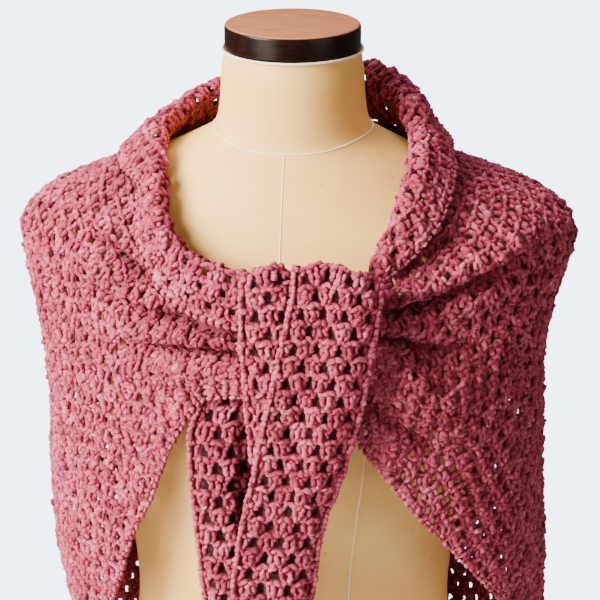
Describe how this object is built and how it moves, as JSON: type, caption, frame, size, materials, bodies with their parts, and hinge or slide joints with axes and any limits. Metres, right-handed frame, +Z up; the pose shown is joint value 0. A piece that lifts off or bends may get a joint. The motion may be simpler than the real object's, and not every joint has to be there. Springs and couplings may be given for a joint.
{
  "type": "crocheted triangle shawl on a limbless dress form",
  "caption": "Open-work chenille triangle shawl, folded out at the neck and tied at the chest, standing on a limbless dress form with a wooden neck cap.",
  "frame": {"origin": "middle of the underside of the base board, where the dress form stands", "axes": "+Z up along the neck, the chest faces -Y, the wearer's left side is at +X"},
  "size_m": [0.4358, 0.3046, 0.7685],
  "materials": {
    "chenille": "velvety chenille crochet in dusty rose",
    "calico": "cream cotton cover, tightly stretched",
    "dark_wood": "dark stained and lacquered"
  },
  "bodies": {
    "root": {"shawl_left_back": "chenille", "shawl_right_back": "chenille", "shawl_left_front": "chenille", "shawl_right_front": "chenille", "collar_left": "chenille", "collar_back": "chenille", "collar_right": "chenille", "front_tail": "chenille", "tail_pleat": "chenille", "under_tail": "chenille", "form_torso": "calico", "neck_cap": "dark_wood", "base_board": "dark_wood"}
  },
  "joints": []
}
